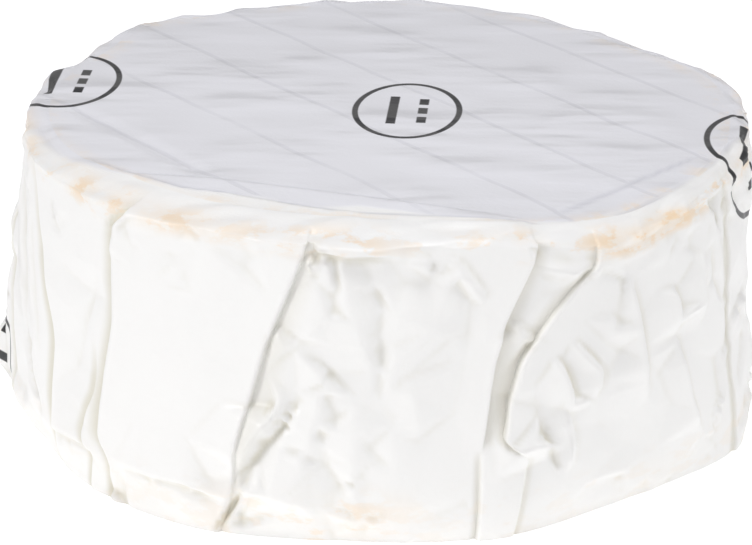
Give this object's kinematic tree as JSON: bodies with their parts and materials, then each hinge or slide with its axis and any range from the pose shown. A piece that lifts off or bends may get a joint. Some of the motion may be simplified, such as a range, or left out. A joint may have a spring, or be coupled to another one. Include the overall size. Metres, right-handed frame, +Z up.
{
  "type": "brillat-savarin cheese",
  "caption": "Thick round soft-cheese wheel, whole and shut in pleated white wrapping paper, standing on its flat underside as food on a board, shelf or counter.",
  "frame": {"origin": "middle of the underside, at the centre of the part's outline seen from above, on the surface it stands on", "axes": "+Z up through the wheel, -Y towards the pictured front, +X to the right of that front"},
  "size_m": [0.127, 0.1256, 0.052],
  "materials": {
    "wrapping_paper": "satin white"
  },
  "bodies": {
    "root": {"wrapped_wheel": "wrapping_paper"}
  },
  "joints": []
}
